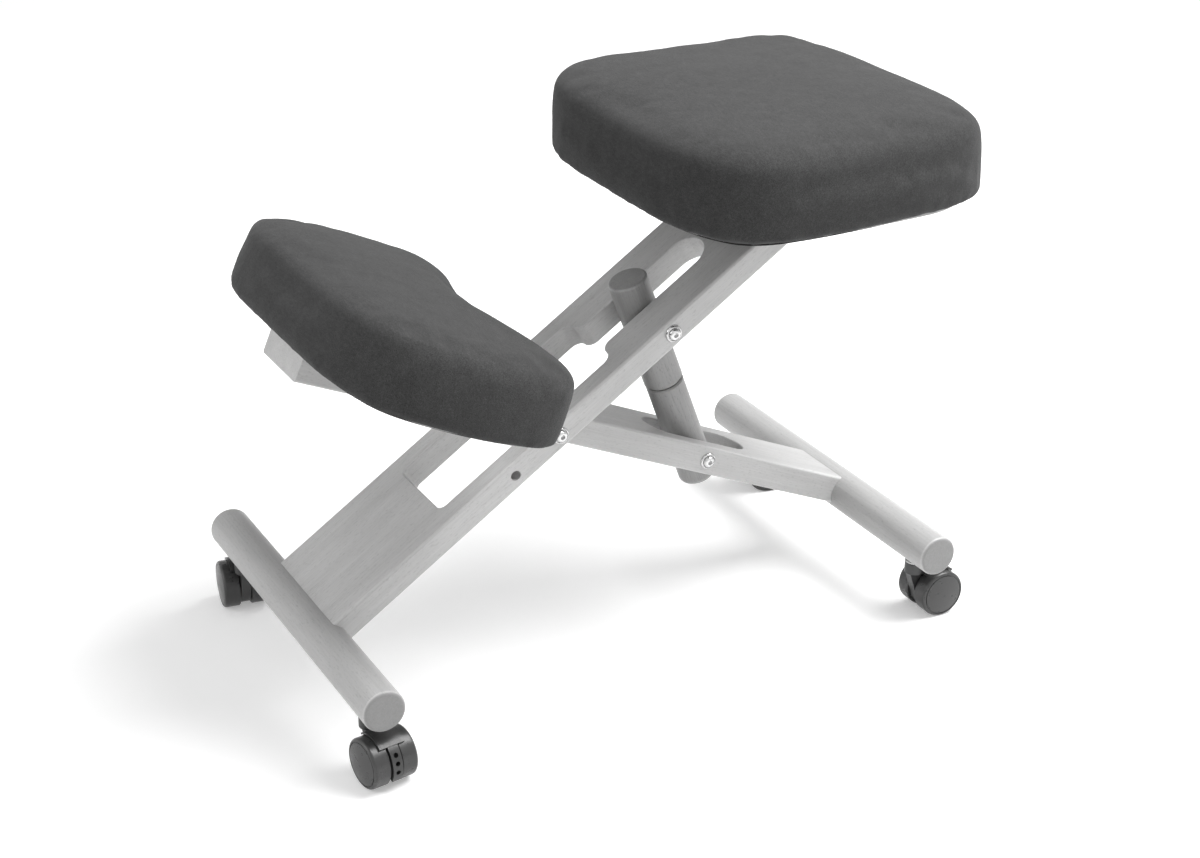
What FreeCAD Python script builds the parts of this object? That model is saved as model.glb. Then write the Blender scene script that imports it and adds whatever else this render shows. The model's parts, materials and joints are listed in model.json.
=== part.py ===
import FreeCAD, Part
import math
import os

# Kneeling chair: a broad slotted beam from the front crossbar up to the seat, crossed by
# a leg from the rear crossbar up to the knee pad. A wooden screw adjuster sets the angle.
# Millimetres. Z up, knees towards -Y, origin on the floor at the middle of the outline.

Vector = FreeCAD.Vector
Placement = FreeCAD.Placement
Rotation = FreeCAD.Rotation
X_AXIS = Vector(1, 0, 0)
Y_AXIS = Vector(0, 1, 0)
Z_AXIS = Vector(0, 0, 1)

SIZES = {
    # crossbars
    "bar_spacing": 615.0,
    "bar_length": 414.0,
    "bar_diameter": 42.0,
    "bar_end_round": 3.5,
    "bar_underside": 62.0,
    # main beam, measured along it from the front crossbar's axis
    "beam_width": 142.0,
    "beam_thick": 27.0,
    "edge_round": 3.0,
    "pivot_on_beam": 300.0,
    "adjuster_on_beam": 450.0,
    "spare_pivot_on_beam": 241.5,
    "spare_pivot_diameter": 10.5,
    "opening_start": 165.5,
    "opening_corner": 8.0,
    "barrel_slot_below": 47.0,
    "barrel_slot_above": 93.0,
    "mouth_round": 1.5,
    # leg, measured along it from the rear crossbar's axis
    "leg_width": 82.0,
    "leg_thick": 30.0,
    "leg_past_knee_middle": 113.0,
    "pivot_on_leg": 399.0,
    "adjuster_on_leg": 195.0,
    "leg_slot_length": 127.0,
    # room beside what passes through the beam and the leg
    "leg_side_gap": 6.0,
    "upper_barrel_gap": 3.5,
    "lower_barrel_gap": 1.75,
    # adjuster, heights along its axis from the bolt of each barrel
    "upper_barrel_diameter": 41.0,
    "upper_barrel_above": 38.0,
    "lower_barrel_diameter": 40.0,
    "lower_barrel_below": 39.0,
    "lower_barrel_above": 86.6,
    "barrel_meeting_gap": 0.3,
    "upper_mouth_chamfer": 3.5,
    "barrel_top_round": 2.5,
    "lower_foot_round": 7.0,
    "rod_diameter": 16.0,
    "rod_grip_in_lower": 66.0,
    "rod_reach_in_upper": 117.0,
    "rod_bore_spare": 3.5,
    "nut_diameter": 22.0,
    "nut_length": 20.0,
    "nut_recess": 2.0,
    "open_pivot_play": 4.0,
    # fasteners
    "bolt_diameter": 8.0,
    "head_diameter": 12.5,
    "head_height": 4.2,
    "hex_across": 5.0,
    "hex_depth": 2.8,
    "cup_diameter": 18.0,
    "cup_height": 2.4,
    "sleeve_diameter": 14.0,
    "spacer_diameter": 32.0,
    "pivot_bolt_length": 44.0,
    "insert_diameter": 12.0,
    "insert_length": 9.0,
    "bolt_tip_gap": 2.6,
    "pad_bolt_diameter": 6.0,
    "pad_head_diameter": 12.0,
    "pad_head_height": 3.4,
    "tnut_barrel_diameter": 8.0,
    "tnut_flange_diameter": 19.0,
    "tnut_flange_thick": 1.5,
    "dowel_diameter": 12.0,
    "dowel_length": 60.0,
    "beam_dowel_pitch": 44.0,
    "leg_dowel_pitch": 40.0,
    # seat
    "seat_width": 422.0,
    "seat_front": 179.5,
    "seat_rear": 171.0,
    "seat_thick": 84.0,
    "seat_crown": 10.0,
    "seat_corner": 108.0,
    "seat_front_bow": 1900.0,
    "seat_side_bow": 1400.0,
    "seat_rear_bow": 1500.0,
    "seat_widest_at": -4.0,
    "seat_top_round": 23.0,
    "seat_from_front_bar": 519.0,
    "seat_underside": 455.0,
    "bearer_length": 50.0,
    # knee pad
    "knee_width": 421.0,
    "knee_front": 134.0,
    "knee_rear": 80.0,
    "knee_front_corner": 96.0,
    "knee_lobe": 84.0,
    "knee_notch": 250.0,
    "knee_front_bow": 3000.0,
    "knee_side_bow": 2200.0,
    "knee_widest_at": -6.0,
    "knee_bolt_rows_apart": 110.0,
    "knee_head_sink": 1.0,
    "knee_thick": 74.0,
    "knee_crown": 9.0,
    "knee_top_round": 17.0,
    "knee_from_rear_bar": 561.0,
    # upholstery
    "board_thick": 12.0,
    "board_inset": 14.0,
    "pad_foot_round": 9.0,
    "side_swell": 1.6,
    # casters
    "stem_spread": 335.0,
    "stem_diameter": 11.0,
    "stem_engaged": 24.0,
    "socket_end_gap": 2.0,
    "dowel_end_gap": 2.0,
    "rod_play": 0.5,
    "insert_sunk": 1.0,
    "barrel_chamfer": 1.5,
    "rod_chamfer": 1.5,
    "bolt_end_gap": 1.0,
    "socket_wall": 2.0,
    "wheel_diameter": 50.0,
    "wheel_width": 19.5,
    "wheel_pitch": 31.5,
    "wheel_face_dome": 2.2,
    "caster_trail": 22.0,
    "axle_diameter": 6.0,
    "axle_cover": 4.0,
    "housing_web": 10.4,
    "web_gap": 3.0,
    "stem_foot_gap": 1.5,
    "stem_chamfer": 1.5,
    "wheel_shoulder": 3.0,
    "wheel_hollow": 5.0,
    "wheel_hub_wall": 3.5,
    "wheel_rim_wall": 4.0,
    "wheel_face_groove": 0.9,
    "front_left_heading": 8.0,
    "front_right_heading": 172.0,
    "rear_left_heading": 90.0,
    "rear_right_heading": 78.0,
    "hood_width": 27.0,
    "hood_wall": 1.8,
    "hood_gap": 0.8,
    "neck_diameter": 21.0,
    "socket_flange_thick": 1.5,
    "recess_radius": 2.4,
    "recess_depth": 5.0,
    # play
    "running_play": 0.08,
    "glue_play": 0.05,
    "face_play": 0.3,
    "swivel_play": 0.8,
}

doc = FreeCAD.newDocument("kneeling_chair")
sheet = doc.addObject("Spreadsheet::Sheet", "sizes")
for row, (alias, number) in enumerate(SIZES.items(), start=2):
    sheet.set(f"A{row}", alias)
    sheet.set(f"B{row}", str(number))
    sheet.setAlias(f"B{row}", alias)
doc.recompute()


def size(alias):
    return float(sheet.get(alias))


# Where things are

bar_radius = size("bar_diameter") / 2
bar_height = size("bar_underside") + bar_radius
pivot_on_beam = size("pivot_on_beam")
pivot_on_leg = size("pivot_on_leg")
bar_spacing = size("bar_spacing")


def angle_between(side, base, opposite):
    """Angle between two sides of a triangle from its three lengths, in degrees."""
    cosine = (side ** 2 + base ** 2 - opposite ** 2) / (2 * side * base)
    return math.degrees(math.acos(cosine))


beam_angle = angle_between(pivot_on_beam, bar_spacing, pivot_on_leg)
leg_angle = angle_between(pivot_on_leg, bar_spacing, pivot_on_beam)
beam_turn = Rotation(X_AXIS, beam_angle)
leg_turn = Rotation(X_AXIS, -leg_angle)

# The outline runs from the front crossbar to the back of the seat.
rear_reach = size("seat_from_front_bar") + size("seat_rear")
front_bar_y = -(rear_reach - bar_radius) / 2
rear_bar_y = front_bar_y + bar_spacing

beam_place = Placement(Vector(0, front_bar_y, bar_height), beam_turn)
leg_place = Placement(Vector(0, rear_bar_y, bar_height), leg_turn)
pivot_point = beam_place.multVec(Vector(0, pivot_on_beam, 0))
upper_pivot = beam_place.multVec(Vector(0, size("adjuster_on_beam"), 0))
lower_pivot = leg_place.multVec(Vector(0, -size("adjuster_on_leg"), 0))
adjuster_line = upper_pivot - lower_pivot
adjuster_length = adjuster_line.Length
adjuster_turn = Rotation(Z_AXIS, adjuster_line)
upper_place = Placement(upper_pivot, adjuster_turn)
lower_place = Placement(lower_pivot, adjuster_turn)
beam_half = size("beam_thick") / 2
leg_half = size("leg_thick") / 2
rail_outer = size("beam_width") / 2
rail_inner = size("leg_width") / 2 + size("leg_side_gap")
leg_side = size("leg_width") / 2
leg_reach = size("knee_from_rear_bar") + size("leg_past_knee_middle")
seat_place = Placement(
    Vector(0, front_bar_y + size("seat_from_front_bar"), size("seat_underside")), Rotation()
)
knee_place = leg_place.multiply(Placement(Vector(0, -size("knee_from_rear_bar"), leg_half), Rotation()))

parts = []


def keep(part, node):
    """Registers a finished piece under the name that its file gets."""
    part.Label = node
    parts.append(part)
    return part


# Feature helpers


def new_body(name, place=Placement()):
    body = doc.addObject("PartDesign::Body", name)
    body.Placement = place
    return body


def origin_plane(body, role):
    return next(item for item in body.Origin.OriginFeatures if item.Role == role)


def new_sketch(body, name, role, geometry, offset=Placement()):
    sketch = body.newObject("Sketcher::SketchObject", f"{body.Name}_{name}")
    sketch.AttachmentSupport = [(origin_plane(body, role), "")]
    sketch.MapMode = "FlatFace"
    sketch.AttachmentOffset = offset
    for curve in geometry:
        sketch.addGeometry(curve, False)
    return sketch


def polygon(points):
    corners = [Vector(x, y, 0) for x, y in points]
    return [Part.LineSegment(a, b) for a, b in zip(corners, corners[1:] + corners[:1])]


def circle(x, y, radius):
    return Part.Circle(Vector(x, y, 0), Z_AXIS, radius)


def arc(start, middle, end):
    return Part.Arc(Vector(*start, 0), Vector(*middle, 0), Vector(*end, 0))


def line(start, end):
    return Part.LineSegment(Vector(*start, 0), Vector(*end, 0))


def add_pad(body, sketch, length):
    pad = body.newObject("PartDesign::Pad", f"{sketch.Name}_pad")
    pad.Profile = sketch
    pad.setExpression("Length", length)
    return pad


def add_middle_pad(body, sketch, length):
    pad = add_pad(body, sketch, length)
    pad.Midplane = True
    return pad


def must_cut(body, cut):
    doc.recompute()
    if cut.Shape.Volume > cut.BaseFeature.Shape.Volume - 0.01:
        raise RuntimeError(f"{cut.Name} in {body.Name} cuts nothing")
    return cut


def cut_through(body, sketch):
    """Cuts the sketch's outline right through the body, both ways."""
    pocket = body.newObject("PartDesign::Pocket", f"{sketch.Name}_cut")
    pocket.Profile = sketch
    pocket.Type = "ThroughAll"
    pocket.Midplane = True
    return must_cut(body, pocket)


def bore(body, name, start, direction, depth, radius):
    """Bores one round hole from start along direction, in the body's own frame."""
    offset = Placement(start, Rotation(Z_AXIS, direction))
    sketch = new_sketch(body, name, "XY_Plane", [circle(0, 0, radius)], offset)
    pocket = body.newObject("PartDesign::Pocket", f"{sketch.Name}_bore")
    pocket.Profile = sketch
    pocket.Length = depth
    pocket.Reversed = True
    return must_cut(body, pocket)


def edges_where(feature, test):
    found = []
    for index, edge in enumerate(feature.Shape.Edges, start=1):
        if test(edge):
            found.append(f"Edge{index}")
    return found


def add_fillet(body, feature, test, radius):
    doc.recompute()
    fillet = body.newObject("PartDesign::Fillet", f"{feature.Name}_round")
    fillet.Base = (feature, edges_where(feature, test))
    fillet.setExpression("Radius", radius)
    doc.recompute()
    return fillet


def add_revolution(body, name, profile, role="XZ_Plane"):
    """Turns a closed profile about the sketch's vertical axis."""
    sketch = new_sketch(body, name, role, profile)
    turned = body.newObject("PartDesign::Revolution", f"{sketch.Name}_turned")
    turned.Profile = sketch
    turned.ReferenceAxis = (sketch, ["V_Axis"])
    turned.Angle = 360
    doc.recompute()
    return turned


def copies(node, master, places):
    """One node of identical separate solids, such as a set of bolts."""
    group = doc.addObject("Part::Feature", node)
    solids = []
    for place in places:
        solid = master.Shape.copy()
        solid.Placement = place.multiply(solid.Placement)
        solids.append(solid)
    group.Shape = solids[0] if len(solids) == 1 else Part.makeCompound(solids)
    return keep(group, node)


def is_long_edge(edge, side, half):
    """A straight edge of a board along Y, on its outer corner."""
    ends = [vertex.Point for vertex in edge.Vertexes]
    if len(ends) != 2:
        return False
    along = abs(ends[0].y - ends[1].y) > 100
    outside = all(abs(abs(p.x) - side) < 0.01 for p in ends)
    corner = all(abs(abs(p.z) - half) < 0.01 for p in ends)
    return along and outside and corner


# Main beam

plane_rise = size("seat_underside") - bar_height
beam_sine = math.sin(math.radians(beam_angle))
beam_cosine = math.cos(math.radians(beam_angle))


def beam_reach_at(normal_height):
    """Distance along the beam at which it meets the seat board's underside."""
    return (plane_rise - normal_height * beam_cosine) / beam_sine


def opening_outline():
    """The beam's opening: wide for the leg, then a narrow slot for the upper barrel."""
    wide = rail_inner
    narrow = size("upper_barrel_diameter") / 2 + size("upper_barrel_gap")
    start = size("opening_start")
    corner = size("opening_corner")
    turn = (wide - narrow) / 2
    neck = size("adjuster_on_beam") - size("barrel_slot_below")
    shoulder = neck - 2 * turn
    end = size("adjuster_on_beam") + size("barrel_slot_above") - narrow
    diagonal = math.sqrt(0.5)
    outline = [line((-wide + corner, start), (wide - corner, start))]
    for side in (1, -1):
        centre = (side * (wide - corner), start + corner)
        middle = (centre[0] + side * corner * diagonal, centre[1] - corner * diagonal)
        outline.append(arc((centre[0], start), middle, (side * wide, centre[1])))
        outline.append(line((side * wide, centre[1]), (side * wide, shoulder)))
        outer_middle = (side * (wide - turn + turn * diagonal), shoulder + turn * diagonal)
        outline.append(
            arc((side * wide, shoulder), outer_middle, (side * (wide - turn), shoulder + turn))
        )
        inner_middle = (side * (narrow + turn - turn * diagonal), neck - turn * diagonal)
        outline.append(
            arc((side * (narrow + turn), shoulder + turn), inner_middle, (side * narrow, neck))
        )
        outline.append(line((side * narrow, neck), (side * narrow, end)))
    outline.append(arc((narrow, end), (0, end + narrow), (-narrow, end)))
    return outline


def is_mouth_edge(edge, half):
    """An edge of the opening on the board's upper or lower face."""
    centre = edge.BoundBox.Center
    flat = edge.BoundBox.ZLength < 0.01 and abs(abs(centre.z) - half) < 0.01
    inside = edge.BoundBox.XMax < rail_outer - 10 and edge.BoundBox.XMin > -rail_outer + 10
    return flat and inside


beam = new_body("beam", beam_place)
beam_blank = new_sketch(
    beam, "blank", "XY_Plane",
    polygon([
        (-rail_outer, bar_radius / 2),
        (rail_outer, bar_radius / 2),
        (rail_outer, beam_reach_at(-beam_half) + beam_half),
        (-rail_outer, beam_reach_at(-beam_half) + beam_half),
    ]),
)
beam_pad = add_middle_pad(beam, beam_blank, "sizes.beam_thick")
add_fillet(beam, beam_pad, lambda edge: is_long_edge(edge, rail_outer, beam_half), "sizes.edge_round")
beam_opening = cut_through(beam, new_sketch(beam, "opening", "XY_Plane", opening_outline()))
add_fillet(beam, beam_opening, lambda edge: is_mouth_edge(edge, beam_half), "sizes.mouth_round")
cope_radius = bar_radius + size("glue_play")
cut_through(beam, new_sketch(beam, "cope", "YZ_Plane", [circle(0, 0, cope_radius)]))
high = 2 * beam_half
cut_through(beam, new_sketch(
    beam, "mitre", "YZ_Plane",
    polygon([
        (beam_reach_at(high), high),
        (beam_reach_at(-high), -high),
        (beam_reach_at(-high) + high, -high),
        (beam_reach_at(-high) + high, high),
    ]),
))
bolt_hole = size("bolt_diameter") / 2 + size("running_play")
for name, reach, radius in (
    ("pivot", pivot_on_beam, bolt_hole),
    ("adjuster", size("adjuster_on_beam"), bolt_hole),
    ("spare_pivot", size("spare_pivot_on_beam"), size("spare_pivot_diameter") / 2),
):
    cut_through(beam, new_sketch(beam, name, "YZ_Plane", [circle(reach, 0, radius)]))

# Dowels that join a board to its crossbar

dowel_hole = size("dowel_diameter") / 2 + size("glue_play")
dowel_half = size("dowel_length") / 2
dowel_middle = bar_radius
dowel_end_gap = size("dowel_end_gap")
beam_dowels = [-size("beam_dowel_pitch"), 0.0, size("beam_dowel_pitch")]
leg_dowels = [-size("leg_dowel_pitch") / 2, size("leg_dowel_pitch") / 2]
for index, x in enumerate(beam_dowels):
    bore(
        beam, f"dowel{index}", Vector(x, bar_radius / 2, 0), Y_AXIS,
        dowel_middle + dowel_half + dowel_end_gap - bar_radius / 2, dowel_hole,
    )

# Seat bearer: a wedge glued on the beam in front of the mitre, under the seat board

mitre_y = beam_place.multVec(Vector(0, beam_reach_at(beam_half), beam_half)).y
bearer_front = mitre_y - size("bearer_length")


def beam_top_height(y):
    """Height of the beam's upper face above the floor at one place."""
    return bar_height + (y - front_bar_y) * beam_sine / beam_cosine + beam_half / beam_cosine


bearer = new_body("bearer")
add_middle_pad(
    bearer,
    new_sketch(bearer, "wedge", "YZ_Plane", polygon([
        (mitre_y, size("seat_underside")),
        (bearer_front, size("seat_underside")),
        (bearer_front, beam_top_height(bearer_front)),
    ])),
    "sizes.beam_width - 2 * sizes.edge_round",
)

# Bolts that hold the seat on the beam, straight up from the beam's sloping underside

seat_bolt_x = size("beam_width") * 0.32
seat_bolt_rows = (mitre_y - size("bearer_length") / 2, mitre_y + size("beam_thick") * 0.6)
pad_bolt_hole = size("pad_bolt_diameter") / 2 + size("glue_play")
pad_head_hole = size("pad_head_diameter") / 2 + size("glue_play")


def beam_foot_height(y):
    """Height of the beam's lower face above the floor at one place."""
    return beam_top_height(y) - 2 * beam_half / beam_cosine


def seat_bolt_seat(y):
    """Height of the flat that the bolt head bears on, in its sunk hole."""
    return beam_foot_height(y + pad_head_hole) + size("pad_head_height")


def in_frame(place, point):
    return place.inverse().multVec(point)


def turn_into(place, direction):
    return place.Rotation.inverted().multVec(direction)


seat_bolt_places = []
for row, y in enumerate(seat_bolt_rows):
    for side in (-1, 1):
        name = f"seat_bolt{row}{'ab'[side > 0]}"
        head_seat = Vector(side * seat_bolt_x, y, seat_bolt_seat(y))
        below = Vector(side * seat_bolt_x, y, seat_bolt_seat(y) - size("beam_thick"))
        up = turn_into(beam_place, Z_AXIS)
        bore(beam, name + "_head", in_frame(beam_place, below), up, size("beam_thick"), pad_head_hole)
        bore(beam, name, in_frame(beam_place, head_seat), up, 2 * size("beam_thick"), pad_bolt_hole)
        if y < mitre_y:
            bore(bearer, name, head_seat, Z_AXIS, 2 * size("bearer_length"), pad_bolt_hole)
        seat_bolt_places.append(head_seat)
keep(beam, "main_beam")
keep(bearer, "seat_bearer")

# Crossbars

stem_radius = size("stem_diameter") / 2
socket_outer = stem_radius + size("running_play") + size("socket_wall")
socket_top = size("stem_engaged") - bar_radius + size("socket_end_gap")
bar_ends = size("bar_length") / 2


def make_bar(name, place_y, board_turn, board_sign, dowels):
    """A round crossbar with caster sockets bored from below and dowel holes for its board."""
    bar = new_body(name, Placement(Vector(0, place_y, bar_height), Rotation()))
    blank = new_sketch(bar, "blank", "YZ_Plane", [circle(0, 0, bar_radius)])
    pad = add_middle_pad(bar, blank, "sizes.bar_length")
    add_fillet(bar, pad, lambda edge: abs(edge.BoundBox.Center.x) > bar_ends - 1, "sizes.bar_end_round")
    for side in (-1, 1):
        start = Vector(side * size("stem_spread") / 2, 0, socket_top)
        bore(bar, f"socket{'ab'[side > 0]}", start, Vector(0, 0, -1), 2 * bar_radius, socket_outer + size("glue_play"))
    along = board_turn.multVec(Vector(0, board_sign, 0))
    for index, x in enumerate(dowels):
        start = Vector(x, 0, 0) + along * (dowel_middle - dowel_half - dowel_end_gap)
        bore(bar, f"dowel{index}", start, along, 2 * bar_radius, dowel_hole)
    return bar


keep(make_bar("front_bar", front_bar_y, beam_turn, 1, beam_dowels), "front_crossbar")
keep(make_bar("rear_bar", rear_bar_y, leg_turn, -1, leg_dowels), "rear_crossbar")

# Leg


def leg_slot_outline():
    half_width = size("lower_barrel_diameter") / 2 + size("lower_barrel_gap")
    middle = -size("adjuster_on_leg")
    straight = size("leg_slot_length") / 2 - half_width
    low = middle - straight
    top = middle + straight
    return [
        line((half_width, low), (half_width, top)),
        arc((half_width, top), (0, top + half_width), (-half_width, top)),
        line((-half_width, top), (-half_width, low)),
        arc((-half_width, low), (0, low - half_width), (half_width, low)),
    ]


def is_slot_edge(edge):
    """An edge of the leg's slot on its upper or lower face."""
    box = edge.BoundBox
    flat = box.ZLength < 0.01 and abs(abs(box.Center.z) - leg_half) < 0.01
    return flat and box.XMax < leg_side - 5 and box.XMin > -leg_side + 5


leg = new_body("leg", leg_place)
leg_blank = new_sketch(leg, "blank", "XY_Plane", polygon([
    (-leg_side, -bar_radius / 2),
    (leg_side, -bar_radius / 2),
    (leg_side, -leg_reach),
    (-leg_side, -leg_reach),
]))
leg_pad = add_middle_pad(leg, leg_blank, "sizes.leg_thick")
add_fillet(leg, leg_pad, lambda edge: is_long_edge(edge, leg_side, leg_half), "sizes.edge_round")
leg_slot = cut_through(leg, new_sketch(leg, "slot", "XY_Plane", leg_slot_outline()))
add_fillet(leg, leg_slot, is_slot_edge, "sizes.mouth_round")
cut_through(leg, new_sketch(leg, "cope", "YZ_Plane", [circle(0, 0, cope_radius)]))
sleeve_radius = size("sleeve_diameter") / 2
for name, reach, radius in (
    ("pivot", pivot_on_leg, sleeve_radius + size("running_play")),
    ("adjuster", size("adjuster_on_leg"), bolt_hole),
):
    cut_through(leg, new_sketch(leg, name, "YZ_Plane", [circle(-reach, 0, radius)]))
for index, x in enumerate(leg_dowels):
    bore(
        leg, f"dowel{index}", Vector(x, -bar_radius / 2, 0), Vector(0, -1, 0),
        dowel_middle + dowel_half + dowel_end_gap - bar_radius / 2, dowel_hole,
    )
knee_bolt_x = size("leg_width") * 0.28
knee_row_reach = size("knee_bolt_rows_apart") / 2
knee_bolt_rows = (size("knee_from_rear_bar") - knee_row_reach, size("knee_from_rear_bar") + knee_row_reach)
knee_head_depth = size("pad_head_height") + size("knee_head_sink")
knee_bolt_places = []
for row, reach in enumerate(knee_bolt_rows):
    for side in (-1, 1):
        name = f"knee_bolt{row}{'ab'[side > 0]}"
        foot = Vector(side * knee_bolt_x, -reach, -leg_half)
        head_seat = foot + Z_AXIS * knee_head_depth
        bore(leg, name + "_head", foot, Z_AXIS, knee_head_depth, pad_head_hole)
        bore(leg, name, head_seat, Z_AXIS, size("leg_thick"), pad_bolt_hole)
        knee_bolt_places.append(head_seat)
keep(leg, "rear_leg")

# Dowels

dowel = new_body("dowel")
add_middle_pad(dowel, new_sketch(dowel, "round", "XZ_Plane", [circle(0, 0, size("dowel_diameter") / 2)]),
               "sizes.dowel_length")
doc.recompute()
copies("beam_dowels", dowel, [
    beam_place.multiply(Placement(Vector(x, dowel_middle, 0), Rotation())) for x in beam_dowels
])
copies("leg_dowels", dowel, [
    leg_place.multiply(Placement(Vector(x, -dowel_middle, 0), Rotation())) for x in leg_dowels
])

# Cushions and their boards


def unit(point, centre):
    length = math.hypot(point[0] - centre[0], point[1] - centre[1])
    return ((point[0] - centre[0]) / length, (point[1] - centre[1]) / length)


def crossing(first, first_radius, second, second_radius):
    """Of the two points at given distances from two centres, the one further towards +X."""
    gap = math.hypot(second[0] - first[0], second[1] - first[1])
    along = (first_radius ** 2 - second_radius ** 2 + gap ** 2) / (2 * gap)
    off = math.sqrt(first_radius ** 2 - along ** 2)
    ux, uy = unit(second, first)
    foot = (first[0] + along * ux, first[1] + along * uy)
    return max((foot[0] + turn * off * uy, foot[1] - turn * off * ux) for turn in (1, -1))


class Outline:
    """A pad's plan: a bowed front, sides and rear joined by round corners, mirrored about X = 0.

    Every curve is an arc, and an inset keeps each arc's centre and changes its radius.
    A negative rear bow makes the rear edge hollow between two lobes.
    """

    def __init__(self, half_width, front, rear, bows, corners, widest):
        front_bow, side_bow, rear_bow = bows
        front_corner, rear_corner = corners
        front_mid = (0.0, -front + front_bow)
        side_mid = (half_width - side_bow, widest)
        rear_mid = (0.0, rear - rear_bow)
        near = crossing(front_mid, front_bow - front_corner, side_mid, side_bow - front_corner)
        far = crossing(side_mid, side_bow - rear_corner, rear_mid, abs(rear_bow - rear_corner))
        self.arcs = [
            (front_mid, front_bow, (0.0, -1.0), unit(near, front_mid)),
            (near, front_corner, unit(near, front_mid), unit(near, side_mid)),
            (side_mid, side_bow, unit(near, side_mid), unit(far, side_mid)),
            (far, rear_corner, unit(far, side_mid), self.rear_way(far, rear_mid, rear_bow)),
            (rear_mid, rear_bow, self.rear_way(far, rear_mid, rear_bow), (0.0, 1.0)),
        ]

    @staticmethod
    def rear_way(corner, centre, bow):
        ux, uy = unit(corner, centre)
        return (ux, uy) if bow > 0 else (-ux, -uy)

    def curves(self, inset=0.0, scale=1.0, height=0.0):
        """The closed plan as arcs, drawn in by inset and then shrunk by scale."""
        half = []
        for centre, radius, first, last in self.arcs:
            reach = radius - inset
            middle = unit((first[0] + last[0], first[1] + last[1]), (0.0, 0.0))
            half.append([
                (scale * (centre[0] + reach * way[0]), scale * (centre[1] + reach * way[1]))
                for way in (first, middle, last)
            ])
        mirrored = [[(-x, y) for x, y in reversed(points)] for points in reversed(half)]
        return [
            Part.Arc(*[Vector(x, y, height) for x, y in points]) for points in half + mirrored
        ]

    def wire(self, inset, scale, height):
        return Part.Wire([curve.toShape() for curve in self.curves(inset, scale, height)])


def rounding(radius, steps):
    """Inset and rise pairs of a quarter round, from its side to its flat."""
    pairs = []
    for step in range(steps + 1):
        angle = math.radians(90 * step / steps)
        pairs.append((radius * (1 - math.cos(angle)), radius * math.sin(angle)))
    return pairs


def cushion_shape(outline, thick, crown, foot_round, top_round, swell, board_inset, board_thick):
    """A crowned pad with rounded rims and swelling sides, hollowed below for its board."""
    wires = []
    for inset, rise in reversed(rounding(foot_round, 3)):
        wires.append(outline.wire(swell + inset, 1.0, foot_round - rise))
    middle = (foot_round + thick - top_round) / 2
    wires.append(outline.wire(0.0, 1.0, middle))
    for inset, rise in rounding(top_round, 5):
        wires.append(outline.wire(swell + inset, 1.0, thick - top_round + rise))
    for scale in (0.82, 0.58, 0.3):
        wires.append(outline.wire(swell + top_round, scale, thick + crown * (1 - scale ** 2)))
    pad = Part.makeLoft(wires, True, True)
    hollow = Part.Face(outline.wire(board_inset, 1.0, 0.0)).extrude(Z_AXIS * board_thick)
    return pad.cut(hollow)


def make_pad(node, outline, thick, crown, top_round, place):
    cushion = doc.addObject("Part::Feature", node)
    cushion.Shape = cushion_shape(
        outline, thick, crown, size("pad_foot_round"), top_round, size("side_swell"),
        size("board_inset") - size("glue_play"), size("board_thick"),
    )
    cushion.Placement = place
    return keep(cushion, node)


def make_board(name, outline, place, bolt_points):
    """The plywood board inside a pad, bored for its T-nuts."""
    board = new_body(name, place)
    add_pad(board, new_sketch(board, "plan", "XY_Plane", outline.curves(size("board_inset"))), "sizes.board_thick")
    for index, point in enumerate(bolt_points):
        start = Vector(point.x, point.y, 0)
        hole = size("tnut_barrel_diameter") / 2 + size("glue_play")
        bore(board, f"hole{index}", start, Z_AXIS, size("board_thick"), hole)
        seat = Vector(point.x, point.y, size("board_thick") - size("tnut_flange_thick"))
        flange_hole = size("tnut_flange_diameter") / 2 + size("glue_play")
        bore(board, f"flange{index}", seat, Z_AXIS, size("tnut_flange_thick"), flange_hole)
    return board


seat_outline = Outline(
    size("seat_width") / 2, size("seat_front"), size("seat_rear"),
    (size("seat_front_bow"), size("seat_side_bow"), size("seat_rear_bow")),
    (size("seat_corner"), size("seat_corner")), size("seat_widest_at"),
)
knee_outline = Outline(
    size("knee_width") / 2, size("knee_front"), size("knee_rear"),
    (size("knee_front_bow"), size("knee_side_bow"), -size("knee_notch")),
    (size("knee_front_corner"), size("knee_lobe")), size("knee_widest_at"),
)
make_pad("seat_cushion", seat_outline, size("seat_thick"), size("seat_crown"), size("seat_top_round"), seat_place)
make_pad("knee_cushion", knee_outline, size("knee_thick"), size("knee_crown"), size("knee_top_round"), knee_place)
seat_points = [in_frame(seat_place, point) for point in seat_bolt_places]
knee_points = [in_frame(knee_place, leg_place.multVec(point)) for point in knee_bolt_places]
keep(make_board("seat_board_body", seat_outline, seat_place, seat_points), "seat_board")
keep(make_board("knee_board_body", knee_outline, knee_place, knee_points), "knee_board")

# T-nuts and the bolts that reach them


def make_tnut(name):
    """A flanged nut let into a board from above, its flange flush with the board's top."""
    tnut = new_body(name)
    inner = size("pad_bolt_diameter") / 2 + size("glue_play")
    outer = size("tnut_barrel_diameter") / 2
    flange = size("tnut_flange_diameter") / 2
    top = size("board_thick")
    ledge = top - size("tnut_flange_thick")
    low = 1.0
    add_revolution(tnut, "profile", polygon([
        (inner, low), (outer, low), (outer, ledge), (flange, ledge), (flange, top), (inner, top),
    ]))
    return tnut


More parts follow.
